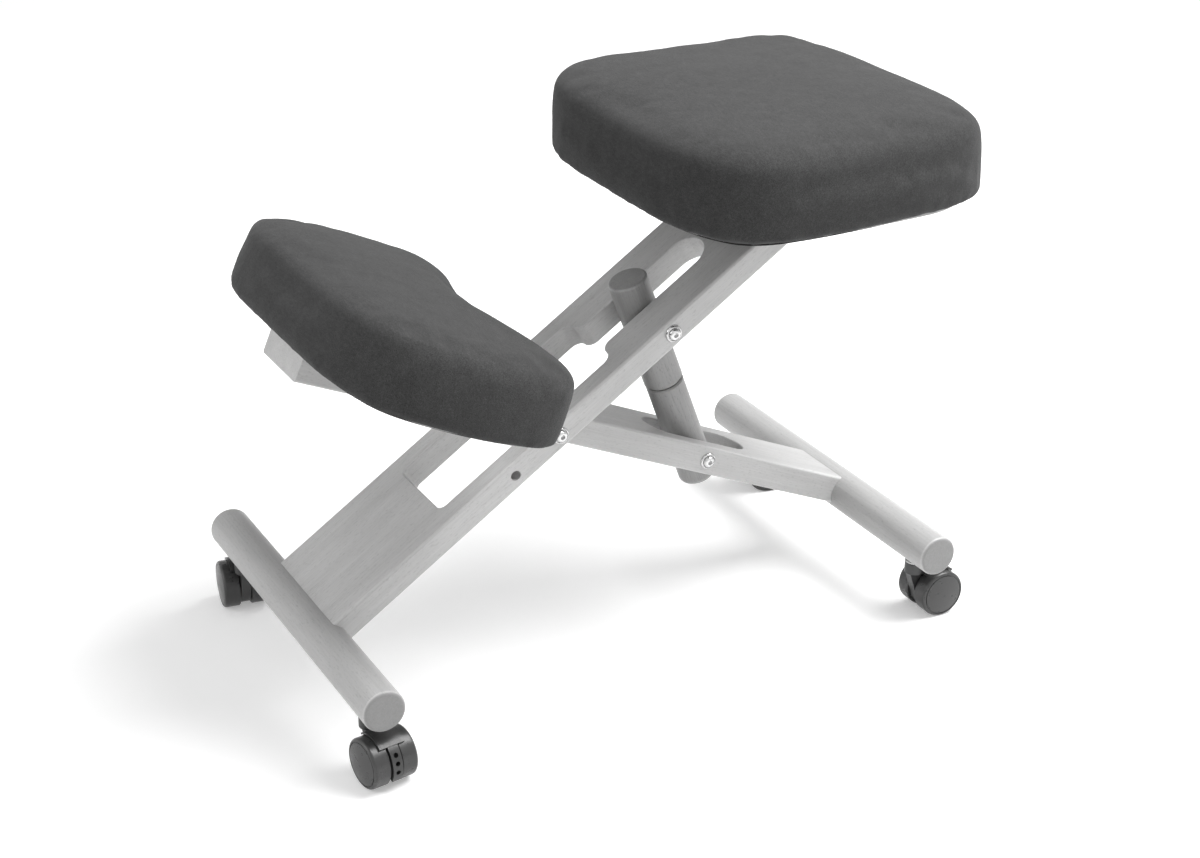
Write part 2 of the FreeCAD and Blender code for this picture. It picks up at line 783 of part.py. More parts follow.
def make_pad_bolt(name, length):
    """A button-head bolt, its head's bearing face at the origin and its shank upwards."""
    bolt = new_body(name)
    shank = size("pad_bolt_diameter") / 2
    head = size("pad_head_diameter") / 2
    depth = size("pad_head_height")
    socket = size("hex_across") * 0.4
    add_revolution(bolt, "profile", [
        line((0, length), (shank, length)),
        line((shank, length), (shank, 0)),
        line((shank, 0), (head, 0)),
        arc((head, 0), (head * 0.82, -depth * 0.68), (head * 0.42, -depth)),
        line((head * 0.42, -depth), (socket, -depth)),
        line((socket, -depth), (socket, -depth * 0.4)),
        line((socket, -depth * 0.4), (0, -depth * 0.4)),
        line((0, -depth * 0.4), (0, length)),
    ])
    return bolt


tnut = make_tnut("tnut")
copies("seat_tnuts", tnut, [
    seat_place.multiply(Placement(Vector(p.x, p.y, 0), Rotation())) for p in seat_points
])
copies("knee_tnuts", tnut, [
    knee_place.multiply(Placement(Vector(p.x, p.y, 0), Rotation())) for p in knee_points
])
bolt_end = size("board_thick") - size("bolt_end_gap")
long_bolt = make_pad_bolt("long_pad_bolt", size("seat_underside") + bolt_end - seat_bolt_places[0].z)
short_bolt = make_pad_bolt("short_pad_bolt", size("seat_underside") + bolt_end - seat_bolt_places[-1].z)
knee_bolt = make_pad_bolt("knee_pad_bolt", size("leg_thick") - knee_head_depth + bolt_end)
copies("seat_bolts_front", long_bolt, [Placement(p, Rotation()) for p in seat_bolt_places[:2]])
copies("seat_bolts_rear", short_bolt, [Placement(p, Rotation()) for p in seat_bolt_places[2:]])
copies("knee_bolts", knee_bolt, [leg_place.multiply(Placement(p, Rotation())) for p in knee_bolt_places])

# Cross bolts and cup washers, which show on the sides of the beam and the leg

outward = {1: Rotation(Z_AXIS, X_AXIS), -1: Rotation(Z_AXIS, Vector(-1, 0, 0))}


def make_cross_bolt(name, length):
    """A button-head bolt along Z: bearing face at the origin, head upwards, shank downwards."""
    bolt = new_body(name)
    shank = size("bolt_diameter") / 2
    head = size("head_diameter") / 2
    height = size("head_height")
    crown = head * 0.52
    add_revolution(bolt, "profile", [
        line((0, -length), (shank, -length)),
        line((shank, -length), (shank, 0)),
        line((shank, 0), (head, 0)),
        line((head, 0), (head, height * 0.25)),
        arc((head, height * 0.25), (head * 0.84, height * 0.78), (crown, height)),
        line((crown, height), (0, height)),
        line((0, height), (0, -length)),
    ])
    across = size("hex_across") / 2
    corners = []
    for index in range(6):
        angle = math.radians(60 * index)
        reach = across / math.cos(math.radians(30))
        corners.append((reach * math.cos(angle), reach * math.sin(angle)))
    bottom = height - size("hex_depth")
    socket = new_sketch(bolt, "hex", "XY_Plane", polygon(corners), Placement(Vector(0, 0, bottom), Rotation()))
    pocket = bolt.newObject("PartDesign::Pocket", f"{name}_hex_cut")
    pocket.Profile = socket
    pocket.Length = size("head_height")
    pocket.Reversed = True
    must_cut(bolt, pocket)
    return bolt


def make_cup(name):
    """A dished finishing washer along Z, its flat foot at the origin."""
    cup = new_body(name)
    outer = size("cup_diameter") / 2
    inner = size("bolt_diameter") / 2 + size("running_play")
    height = size("cup_height")
    seat = size("head_diameter") / 2
    floor = height * 0.42
    add_revolution(cup, "profile", [
        line((inner, 0), (outer, 0)),
        arc((outer, 0), (outer - height * 0.22, height * 0.62), (outer - height * 0.75, height)),
        line((outer - height * 0.75, height), (seat + 0.5, height * 0.8)),
        line((seat + 0.5, height * 0.8), (seat + 0.3, floor)),
        line((seat + 0.3, floor), (inner, floor)),
        line((inner, floor), (inner, 0)),
    ])
    return cup


def side_places(place, point, distance):
    """Both ends of a cross bolt: outward-facing places on the two sides of a board."""
    return [
        Placement(place.multVec(point) + X_AXIS * side * distance, outward[side]) for side in (1, -1)
    ]


cup = make_cup("cup")
cup_floor = size("cup_height") * 0.42
pivot_bolt = make_cross_bolt("pivot_bolt", size("pivot_bolt_length") + cup_floor)
copies("pivot_cups", cup, side_places(beam_place, Vector(0, pivot_on_beam, 0), rail_outer))
copies("pivot_bolts", pivot_bolt, side_places(beam_place, Vector(0, pivot_on_beam, 0), rail_outer + cup_floor))

# The pivot: a tapped sleeve clamped between the rails, on which the leg turns

sleeve = new_body("sleeve", Placement(pivot_point, outward[1]))
sleeve_bore = size("bolt_diameter") / 2 + size("glue_play")
add_middle_pad(
    sleeve,
    new_sketch(sleeve, "ring", "XY_Plane", [circle(0, 0, sleeve_radius), circle(0, 0, sleeve_bore)]),
    "sizes.leg_width + 2 * sizes.leg_side_gap",
)
keep(sleeve, "pivot_sleeve")
spacer = new_body("spacer")
add_pad(
    spacer,
    new_sketch(spacer, "ring", "XY_Plane", [
        circle(0, 0, size("spacer_diameter") / 2), circle(0, 0, sleeve_radius + size("glue_play")),
    ]),
    "sizes.leg_side_gap - sizes.face_play",
)
doc.recompute()
spacer_start = leg_side + size("face_play")
copies("pivot_spacers", spacer, side_places(beam_place, Vector(0, pivot_on_beam, 0), spacer_start))

# Adjuster: two barrels on one threaded rod

upper_radius = size("upper_barrel_diameter") / 2
lower_radius = size("lower_barrel_diameter") / 2
rod_radius = size("rod_diameter") / 2
upper_foot = size("lower_barrel_above") + size("barrel_meeting_gap") - adjuster_length
upper_top = size("upper_barrel_above")
lower_top = size("lower_barrel_above")
lower_foot = -size("lower_barrel_below")
rod_low = lower_top - size("rod_grip_in_lower")
rod_top = lower_top + size("rod_reach_in_upper")
rod_bore = rod_radius + size("rod_play")
nut_radius = size("nut_diameter") / 2
nut_hole = nut_radius + size("glue_play")
bolt_tip = rod_bore + size("bolt_tip_gap")
insert_radius = size("insert_diameter") / 2
insert_start = upper_radius - size("insert_sunk") - size("insert_length")

upper = new_body("upper", upper_place)
chamfer = size("upper_mouth_chamfer")
top_round = size("barrel_top_round")
diagonal = math.sqrt(0.5)
add_revolution(upper, "profile", [
    line((0, upper_top), (upper_radius - top_round, upper_top)),
    arc(
        (upper_radius - top_round, upper_top),
        (upper_radius - top_round * (1 - diagonal), upper_top - top_round * (1 - diagonal)),
        (upper_radius, upper_top - top_round),
    ),
    line((upper_radius, upper_top - top_round), (upper_radius, upper_foot + chamfer)),
    line((upper_radius, upper_foot + chamfer), (upper_radius - chamfer, upper_foot)),
    line((upper_radius - chamfer, upper_foot), (0, upper_foot)),
    line((0, upper_foot), (0, upper_top)),
])
rod_end_in_upper = rod_top - adjuster_length
bore(upper, "rod", Vector(0, 0, upper_foot), Z_AXIS,
     rod_end_in_upper + size("rod_bore_spare") - upper_foot, rod_bore)
bore(upper, "nut", Vector(0, 0, upper_foot), Z_AXIS, size("nut_recess") + size("nut_length"), nut_hole)
for side in (-1, 1):
    bore(upper, f"insert{'ab'[side > 0]}", Vector(side * insert_start, 0, 0), X_AXIS * side,
         upper_radius, insert_radius + size("glue_play"))
keep(upper, "upper_barrel")

lower = new_body("lower", lower_place)
foot_round = size("lower_foot_round")
rim = size("barrel_chamfer")
add_revolution(lower, "profile", [
    line((0, lower_top), (lower_radius - rim, lower_top)),
    line((lower_radius - rim, lower_top), (lower_radius, lower_top - rim)),
    line((lower_radius, lower_top - rim), (lower_radius, lower_foot + foot_round)),
    arc(
        (lower_radius, lower_foot + foot_round),
        (lower_radius - foot_round * (1 - diagonal), lower_foot + foot_round * (1 - diagonal)),
        (lower_radius - foot_round, lower_foot),
    ),
    line((lower_radius - foot_round, lower_foot), (0, lower_foot)),
    line((0, lower_foot), (0, lower_top)),
])
bore(lower, "rod", Vector(0, 0, rod_low - 1.0), Z_AXIS, 2 * lower_top, rod_radius + size("glue_play"))
bore(lower, "nut", Vector(0, 0, lower_top - size("nut_recess") - size("nut_length")), Z_AXIS, lower_top, nut_hole)
cross_bore = size("bolt_diameter") / 2 + size("open_pivot_play")
bore(lower, "cross", Vector(-2 * lower_radius, 0, 0), X_AXIS, 4 * lower_radius, cross_bore)
keep(lower, "lower_barrel")

rod = new_body("rod", lower_place)
tip = size("rod_chamfer")
add_revolution(rod, "profile", polygon([
    (0, rod_low), (rod_radius - tip, rod_low), (rod_radius, rod_low + tip),
    (rod_radius, rod_top - tip), (rod_radius - tip, rod_top), (0, rod_top),
]))
keep(rod, "threaded_rod")


def make_nut(name, place, low, bore_play):
    nut = new_body(name, place)
    inner = rod_radius + bore_play
    add_revolution(nut, "profile", polygon([
        (inner, low), (nut_radius, low), (nut_radius, low + size("nut_length")),
        (inner, low + size("nut_length")),
    ]))
    return nut


upper_nut = make_nut("upper_nut_body", upper_place, upper_foot + size("nut_recess"), size("running_play"))
keep(upper_nut, "upper_rod_nut")
lower_nut_low = lower_top - size("nut_recess") - size("nut_length")
keep(make_nut("lower_nut_body", lower_place, lower_nut_low, size("glue_play")), "lower_rod_nut")

insert = new_body("insert")
add_pad(
    insert,
    new_sketch(insert, "ring", "XY_Plane", [
        circle(0, 0, insert_radius), circle(0, 0, size("bolt_diameter") / 2 + size("glue_play")),
    ]),
    "sizes.insert_length",
)
doc.recompute()
copies("upper_inserts", insert, side_places(upper_place, Vector(), insert_start + size("glue_play")))
washer_face = rail_outer + size("face_play")
upper_bolt = make_cross_bolt("upper_bolt", washer_face + cup_floor - bolt_tip)
copies("upper_cups", cup, side_places(upper_place, Vector(), washer_face))
copies("upper_bolts", upper_bolt, side_places(upper_place, Vector(), washer_face + cup_floor))
lower_bolt = make_cross_bolt("lower_bolt", leg_side + cup_floor - bolt_tip)
copies("lower_cups", cup, side_places(lower_place, Vector(), leg_side))
copies("lower_bolts", lower_bolt, side_places(lower_place, Vector(), leg_side + cup_floor))

# Casters: origin on the floor under the stem, wheels trailing towards +X of their own frame

wheel_radius = size("wheel_diameter") / 2
wheel_inner = (size("wheel_pitch") - size("wheel_width")) / 2
wheel_outer = wheel_inner + size("wheel_width")
axle_radius = size("axle_diameter") / 2
axle_half = wheel_outer - size("axle_cover")
hood_inner = wheel_radius + size("hood_gap")
hood_outer = hood_inner + size("hood_wall")
hub = Vector(size("caster_trail"), 0, wheel_radius)
web_radius = wheel_radius - size("web_gap")
neck_radius = size("neck_diameter") / 2
neck_low = hub.z + math.sqrt(hood_inner ** 2 - (hub.x - neck_radius) ** 2)
neck_top = size("bar_underside") - size("socket_flange_thick") - size("swivel_play")
stem_low = neck_low + size("stem_foot_gap")


def make_wheel(name):
    """One wheel, turned about Z: inner face below, domed outer face above, bored from inside."""
    wheel = new_body(name)
    dome = size("wheel_face_dome")
    shoulder = size("wheel_shoulder")
    axle_hole = axle_radius + size("running_play")
    depth = axle_half + size("face_play") - wheel_inner
    hollow = size("wheel_hollow")
    hub_ring = axle_radius + size("wheel_hub_wall")
    rim_inside = wheel_radius - size("wheel_rim_wall")
    width = size("wheel_width")
    face = wheel_radius - shoulder
    groove = size("wheel_face_groove")
    face_edge = face - groove
    ball = (face_edge ** 2 + dome ** 2) / (2 * dome)
    half_way = math.asin(face_edge / ball) / 2
    add_revolution(wheel, "profile", [
        line((axle_hole, 0), (hub_ring, 0)),
        line((hub_ring, 0), (hub_ring, hollow)),
        line((hub_ring, hollow), (rim_inside, hollow)),
        line((rim_inside, hollow), (rim_inside, 0)),
        line((rim_inside, 0), (wheel_radius - 1, 0)),
        line((wheel_radius - 1, 0), (wheel_radius, 1)),
        line((wheel_radius, 1), (wheel_radius, width - dome - shoulder)),
        arc(
            (wheel_radius, width - dome - shoulder),
            (wheel_radius - shoulder * (1 - diagonal), width - dome - shoulder * (1 - diagonal)),
            (wheel_radius - shoulder, width - dome),
        ),
        line((face, width - dome), (face, width - dome - groove)),
        line((face, width - dome - groove), (face_edge, width - dome - groove)),
        line((face_edge, width - dome - groove), (face_edge, width - dome)),
        arc(
            (face_edge, width - dome),
            (ball * math.sin(half_way), width - ball + ball * math.cos(half_way)),
            (0, width),
        ),
        line((0, width), (0, depth)),
        line((0, depth), (axle_hole, depth)),
        line((axle_hole, depth), (axle_hole, 0)),
    ])
    return wheel


def make_housing(name):
    """The fork between the wheels: web, hood over the treads, rib under it and neck above."""
    housing = new_body(name)
    high = 126.0

    def on_ring(radius, angle):
        turn = math.radians(angle)
        return (hub.x + radius * math.cos(turn), hub.z + radius * math.sin(turn))

    def ring_part(inner, outer, low):
        middle = (low + high) / 2
        return [
            arc(on_ring(outer, low), on_ring(outer, middle), on_ring(outer, high)),
            line(on_ring(outer, high), on_ring(inner, high)),
            arc(on_ring(inner, high), on_ring(inner, middle), on_ring(inner, low)),
            line(on_ring(inner, low), on_ring(outer, low)),
        ]

    disc = new_sketch(housing, "disc", "XZ_Plane", [circle(hub.x, hub.z, web_radius)])
    add_middle_pad(housing, disc, "sizes.housing_web")
    brace = new_sketch(housing, "brace", "XZ_Plane", polygon([
        (2 - neck_radius, neck_low + 1.0),
        (neck_radius, neck_low + 1.0),
        on_ring(web_radius, 90),
        (hub.x, hub.z),
        on_ring(web_radius, 190),
    ]))
    add_middle_pad(housing, brace, "sizes.housing_web")
    rib = new_sketch(housing, "rib", "XZ_Plane", ring_part(web_radius - 1.0, hood_inner + 1.0, -32.0))
    add_middle_pad(housing, rib, "sizes.housing_web")
    hood = new_sketch(housing, "hood", "XZ_Plane", ring_part(hood_inner, hood_outer, 50.0))
    add_middle_pad(housing, hood, "sizes.hood_width")
    neck_base = Placement(Vector(0, 0, neck_low), Rotation())
    neck = new_sketch(housing, "neck", "XY_Plane", [circle(0, 0, neck_radius)], neck_base)
    neck_pad = housing.newObject("PartDesign::Pad", f"{name}_neck_pad")
    neck_pad.Profile = neck
    neck_pad.Length = neck_top - neck_low
    doc.recompute()
    bore(housing, "stem", Vector(0, 0, stem_low), Z_AXIS, neck_top, stem_radius + size("glue_play"))
    bore(housing, "axle", hub - Y_AXIS * size("housing_web"), Y_AXIS, 2 * size("housing_web"),
         axle_radius + size("glue_play"))
    for index, angle in enumerate((-8.0, 12.0, 30.0)):
        x, z = on_ring(hood_inner - size("recess_depth"), angle)
        way = Vector(math.cos(math.radians(angle)), 0, math.sin(math.radians(angle)))
        bore(housing, f"recess{index}", Vector(x, 0, z), way, 2 * size("recess_depth"), size("recess_radius"))
    return housing


def make_stem(name):
    """The swivel pin, pressed into the housing's neck and turning in the crossbar's socket."""
    stem = new_body(name)
    top = size("bar_underside") + size("stem_engaged")
    tip = size("stem_chamfer")
    add_revolution(stem, "profile", polygon([
        (0, stem_low), (stem_radius, stem_low), (stem_radius, top - tip), (stem_radius - tip, top), (0, top),
    ]))
    return stem


def make_socket(name):
    """The sleeve let into a crossbar from below, with a flange under the bar."""
    socket = new_body(name)
    inner = stem_radius + size("running_play")
    low = size("bar_underside") - size("socket_flange_thick")
    ledge = size("bar_underside")
    top = ledge + size("stem_engaged")
    add_revolution(socket, "profile", polygon([
        (inner, low), (neck_radius, low), (neck_radius, ledge), (socket_outer, ledge),
        (socket_outer, top), (inner, top),
    ]))
    return socket


wheel_master = make_wheel("wheel")
housing_master = make_housing("housing")
stem_master = make_stem("stem")
socket_master = make_socket("socket")
axle_master = new_body("axle")
add_middle_pad(
    axle_master,
    new_sketch(axle_master, "round", "XZ_Plane", [circle(hub.x, hub.z, axle_radius)]),
    "sizes.wheel_pitch + sizes.wheel_width - 2 * sizes.axle_cover",
)
doc.recompute()

# Each caster's name, its side along X and its crossbar
CASTERS = (
    ("front_left", 1, front_bar_y),
    ("front_right", -1, front_bar_y),
    ("rear_left", 1, rear_bar_y),
    ("rear_right", -1, rear_bar_y),
)
sockets = {"front": [], "rear": []}
for name, side, bar_y in CASTERS:
    heading = size(f"{name}_heading")
    place = Placement(Vector(side * size("stem_spread") / 2, bar_y, 0), Rotation(Z_AXIS, heading))
    copies(f"caster_{name}_stem", stem_master, [place])
    copies(f"caster_{name}_housing", housing_master, [place])
    copies(f"caster_{name}_axle", axle_master, [place])
    for letter, way in (("a", 1), ("b", -1)):
        out = Y_AXIS * way
        wheel_place = Placement(hub + out * wheel_inner, Rotation(Z_AXIS, out))
        copies(f"caster_{name}_wheel_{letter}", wheel_master, [place.multiply(wheel_place)])
    sockets[name.split("_")[0]].append(place)
for end, places in sockets.items():
    copies(f"{end}_stem_sockets", socket_master, places)

# Output

doc.recompute()
for item in doc.Objects:
    if {"Invalid", "Error"} & set(item.State):
        raise RuntimeError(f"{item.Name} is {item.State}")
os.makedirs("parts", exist_ok=True)
for part in parts:
    if part.Shape.isNull() or not part.Shape.isValid():
        raise RuntimeError(f"{part.Label} has no valid shape")
    part.Shape.exportStep(f"parts/{part.Label}.step")
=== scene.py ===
import json
import math
import random

import bmesh
import bpy
from mathutils import Matrix, Vector, noise


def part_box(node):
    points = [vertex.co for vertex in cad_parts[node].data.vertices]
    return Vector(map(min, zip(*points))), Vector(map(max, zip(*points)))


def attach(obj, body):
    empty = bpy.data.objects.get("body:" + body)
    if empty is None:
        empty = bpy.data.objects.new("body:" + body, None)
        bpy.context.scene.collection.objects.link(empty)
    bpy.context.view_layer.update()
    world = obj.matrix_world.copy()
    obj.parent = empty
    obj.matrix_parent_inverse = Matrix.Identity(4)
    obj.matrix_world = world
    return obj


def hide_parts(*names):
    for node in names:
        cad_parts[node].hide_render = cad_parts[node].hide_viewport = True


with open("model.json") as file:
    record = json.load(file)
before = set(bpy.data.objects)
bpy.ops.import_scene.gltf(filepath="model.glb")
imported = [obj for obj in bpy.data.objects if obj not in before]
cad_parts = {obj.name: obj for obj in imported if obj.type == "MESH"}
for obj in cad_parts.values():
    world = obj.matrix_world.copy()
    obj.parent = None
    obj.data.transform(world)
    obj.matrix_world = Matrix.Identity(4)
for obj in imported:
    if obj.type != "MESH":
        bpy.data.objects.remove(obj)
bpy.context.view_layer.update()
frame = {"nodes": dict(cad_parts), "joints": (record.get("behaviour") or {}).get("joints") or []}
NODES = frame["nodes"]
JOINTS = {joint["name"]: joint for joint in frame["joints"]}

# Places that the frame gives

FRONT_BAR = (Vector(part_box("front_crossbar")[0]) + Vector(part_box("front_crossbar")[1])) / 2
REAR_BAR = (Vector(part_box("rear_crossbar")[0]) + Vector(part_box("rear_crossbar")[1])) / 2
PIVOT = Vector(JOINTS["fold"]["pos_m"])
UPPER_PIVOT = Vector(JOINTS["adjuster_swing"]["pos_m"])
DOWN_ADJUSTER = Vector(JOINTS["adjuster_extend"]["axis"]).normalized()
BEAM_ANGLE = math.atan2(PIVOT.z - FRONT_BAR.z, PIVOT.y - FRONT_BAR.y)
LEG_ANGLE = math.atan2(PIVOT.z - REAR_BAR.z, REAR_BAR.y - PIVOT.y)
ADJUSTER_ANGLE = math.atan2(DOWN_ADJUSTER.y, -DOWN_ADJUSTER.z)
LEG_PLACE = Matrix.Translation(REAR_BAR) @ Matrix.Rotation(-LEG_ANGLE, 4, "X")
SEAT_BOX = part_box("seat_cushion")
LEG_HALF = 0.015
SEAT_PLACE = Matrix.Translation((0.0, FRONT_BAR.y + 0.519, SEAT_BOX[0].z))
KNEE_PLACE = LEG_PLACE @ Matrix.Translation((0.0, -0.561, LEG_HALF))


# Materials


class Nodes:
    """Small helper that builds a node tree by short calls."""

    def __init__(self, name):
        self.material = bpy.data.materials.new(name)
        self.material.use_nodes = True
        self.tree = self.material.node_tree
        self.tree.nodes.clear()
        self.output = self.add("ShaderNodeOutputMaterial")
        self.shader = self.add("ShaderNodeBsdfPrincipled")
        self.link(self.shader.outputs["BSDF"], self.output.inputs["Surface"])

    def add(self, kind, **settings):
        node = self.tree.nodes.new(kind)
        for key, value in settings.items():
            setattr(node, key, value)
        return node

    def link(self, source, target):
        self.tree.links.new(source, target)

    def feed(self, target, value):
        if isinstance(value, bpy.types.NodeSocket):
            self.link(value, target)
        else:
            target.default_value = value

    def coordinates(self, turn=(0, 0, 0), scale=(1, 1, 1)):
        source = self.add("ShaderNodeTexCoord")
        turned = self.add("ShaderNodeMapping")
        turned.inputs["Rotation"].default_value = turn
        self.link(source.outputs["Object"], turned.inputs["Vector"])
        sized = self.add("ShaderNodeMapping")
        sized.inputs["Scale"].default_value = scale
        self.link(turned.outputs["Vector"], sized.inputs["Vector"])
        return sized.outputs["Vector"]

    def noise(self, vector, scale, detail=3.0, rough=0.5, distortion=0.0):
        node = self.add("ShaderNodeTexNoise")
        self.link(vector, node.inputs["Vector"])
        node.inputs["Scale"].default_value = scale
        node.inputs["Detail"].default_value = detail
        node.inputs["Roughness"].default_value = rough
        node.inputs["Distortion"].default_value = distortion
        return node.outputs["Fac"]

    def wave(self, vector, scale, direction="X", distortion=0.0, detail=2.0, detail_scale=1.0):
        node = self.add("ShaderNodeTexWave", bands_direction=direction)
        self.link(vector, node.inputs["Vector"])
        node.inputs["Scale"].default_value = scale
        node.inputs["Distortion"].default_value = distortion
        node.inputs["Detail"].default_value = detail
        node.inputs["Detail Scale"].default_value = detail_scale
        return node.outputs["Fac"]

    def remap(self, value, low, high, out_low, out_high, smooth=False):
        node = self.add("ShaderNodeMapRange")
        if smooth:
            node.interpolation_type = "SMOOTHSTEP"
        self.feed(node.inputs["Value"], value)
        for name, number in (
            ("From Min", low), ("From Max", high), ("To Min", out_low), ("To Max", out_high),
        ):
            node.inputs[name].default_value = number
        return node.outputs["Result"]

    def math(self, operation, first, second=0.0):
        node = self.add("ShaderNodeMath", operation=operation)
        self.feed(node.inputs[0], first)
        self.feed(node.inputs[1], second)
        return node.outputs["Value"]

    def mix(self, factor, first, second, blend="MIX"):
        node = self.add("ShaderNodeMix", data_type="RGBA", blend_type=blend)
        self.feed(node.inputs[0], factor)
        self.feed(node.inputs[6], first)
        self.feed(node.inputs[7], second)
        return node.outputs[2]

    def bump(self, height, strength, distance, normal=None):
        node = self.add("ShaderNodeBump")
        node.inputs["Strength"].default_value = strength
        node.inputs["Distance"].default_value = distance
        self.link(height, node.inputs["Height"])
        if normal is not None:
            self.link(normal, node.inputs["Normal"])
        return node.outputs["Normal"]

    def set(self, **values):
        for key, value in values.items():
            self.feed(self.shader.inputs[key.replace("_", " ")], value)


def grey(value, warm=0.0):
    return (value * (1 + warm), value, value * (1 - warm), 1.0)


def wood_material(
    name, turn, along, tone, contrast=1.0, end_axis=None, end_at=0.2, edge_highlight_axis=(1, 0, 0),
):
    """Lacquered wood with long streaks along one axis, fine flecks, soft tone clouds and a painted
    highlight on its rounded edges.
    """
    n = Nodes(name)
    stretch = {"X": (0.09, 1, 1), "Y": (1, 0.09, 1), "Z": (1, 1, 0.09)}[along]
    fine = {"X": (0.035, 1, 1), "Y": (1, 0.035, 1), "Z": (1, 1, 0.035)}[along]
    streaks = n.noise(n.coordinates(turn, stretch), 62.0, 5.0, 0.55, 0.25)
    hair = n.noise(n.coordinates(turn, fine), 620.0, 3.0, 0.6)
    short = {"X": (0.22, 1, 1), "Y": (1, 0.22, 1), "Z": (1, 1, 0.22)}[along]
    flecks = n.noise(n.coordinates(turn, short), 950.0, 1.0, 0.5)
    clouds = n.noise(n.coordinates(turn, (1, 1, 1)), 7.0, 2.0, 0.5)
    value = n.math("MULTIPLY_ADD", n.math("SUBTRACT", streaks, 0.5), 0.36 * contrast)
    value.node.inputs[2].default_value = 1.0
    second = n.math("MULTIPLY_ADD", n.math("SUBTRACT", hair, 0.5), 0.30 * contrast)
    n.link(value, second.node.inputs[2])
    third = n.math("MULTIPLY_ADD", n.math("SUBTRACT", clouds, 0.5), 0.22)
    n.link(second, third.node.inputs[2])
    fleck = n.remap(flecks, 0.60, 0.72, 1.0, 1.0 - 0.16 * contrast)
    shade = n.math("MULTIPLY", third, fleck)
    if end_axis is not None:
        source = n.add("ShaderNodeTexCoord")
        split = n.add("ShaderNodeSeparateXYZ")
        n.link(source.outputs["Object"], split.inputs["Vector"])
        reach = n.math("ABSOLUTE", split.outputs[end_axis])
        at_end = n.remap(reach, end_at - 0.0022, end_at - 0.0006, 0.0, 1.0, True)
        rings_at = n.coordinates(turn, (0.05, 1, 1))
        rings = n.noise(rings_at, 260.0, 2.0, 0.6, 1.2)
        pores = n.noise(rings_at, 1500.0, 1.0)
        ring_tone = n.remap(rings, 0.3, 0.7, 0.88, 0.99)
        end_tone = n.math("MULTIPLY", ring_tone, n.remap(pores, 0.35, 0.65, 0.95, 1.03))
        mixed = n.add("ShaderNodeMix", data_type="FLOAT")
        n.link(at_end, mixed.inputs[0])
        n.link(shade, mixed.inputs[2])
        n.link(n.math("MULTIPLY", end_tone, 0.60), mixed.inputs[3])
        shade = mixed.outputs[0]
    # Painted highlight: the colour is lifted by up to 16% where the normal leans partway from the given
    # axis, on rounded edges, whatever the lamps do.
    facing = n.add("ShaderNodeVectorMath", operation="DOT_PRODUCT")
    n.link(n.add("ShaderNodeNewGeometry").outputs["Normal"], facing.inputs[0])
    facing.inputs[1].default_value = edge_highlight_axis
    lean = n.math("ABSOLUTE", facing.outputs["Value"])
    rounded = n.math("MULTIPLY", lean, n.math("SUBTRACT", 1.0, lean))
    shade = n.math("MULTIPLY", shade, n.remap(rounded, 0.05, 0.20, 1.0, 1.16))
    colour = n.add("ShaderNodeMix", data_type="RGBA", blend_type="MULTIPLY")
    colour.inputs[0].default_value = 1.0
    colour.inputs[6].default_value = grey(tone, 0.004)
    n.link(shade, colour.inputs[7])
    n.set(Base_Color=colour.outputs[2], IOR=1.48, Coat_Weight=0.18, Coat_Roughness=0.32)
    n.set(Roughness=n.remap(streaks, 0.3, 0.7, 0.42, 0.54))
    n.set(Normal=n.bump(n.math("ADD", hair, n.math("MULTIPLY", streaks, 0.5)), 0.18, 0.0004))
    return n.material


def fabric_material(name, tone):
    """Soft matt cloth: fine yarn speckle, mottled tone, slubs, a faint weave and a little nap."""
    n = Nodes(name)
    at = n.coordinates()
    warp = n.wave(at, 620.0, "X", 1.6, 2.0, 3.0)
    weft = n.wave(at, 620.0, "Y", 1.6, 2.0, 3.0)
    rise = n.wave(at, 620.0, "Z", 1.6, 2.0, 3.0)
    weave = n.math("MULTIPLY", n.math("ADD", n.math("ADD", warp, weft), rise), 0.333)
    thread = n.noise(at, 1300.0, 2.0, 0.7)
    slub = n.noise(n.coordinates((0, 0, 0), (0.35, 1, 1)), 420.0, 2.0, 0.6)
    mottle = n.noise(at, 60.0, 4.0, 0.62)
    clouds = n.noise(at, 6.0, 2.0, 0.5)
    shade = n.math("MULTIPLY", n.remap(thread, 0.3, 0.7, 0.62, 1.38), n.remap(mottle, 0.3, 0.7, 0.91, 1.09))
    shade = n.math("MULTIPLY", shade, n.remap(clouds, 0.3, 0.7, 0.96, 1.04))
    shade = n.math("MULTIPLY", shade, n.remap(slub, 0.35, 0.7, 0.90, 1.12))
    shade = n.math("MULTIPLY", shade, n.remap(weave, 0.1, 0.9, 0.98, 1.02))
    colour = n.add("ShaderNodeMix", data_type="RGBA", blend_type="MULTIPLY")
    colour.inputs[0].default_value = 1.0
    colour.inputs[6].default_value = grey(tone)
    n.link(shade, colour.inputs[7])
    n.set(Base_Color=colour.outputs[2], Roughness=0.93, Specular_IOR_Level=0.18)
    n.set(Sheen_Weight=0.10, Sheen_Roughness=0.45, Sheen_Tint=(0.75, 0.75, 0.76, 1.0))
    height = n.math("ADD", n.math("MULTIPLY", weave, 0.15), thread)
    n.set(Normal=n.bump(height, 0.35, 0.0006, n.bump(mottle, 0.15, 0.002)))
    return n.material


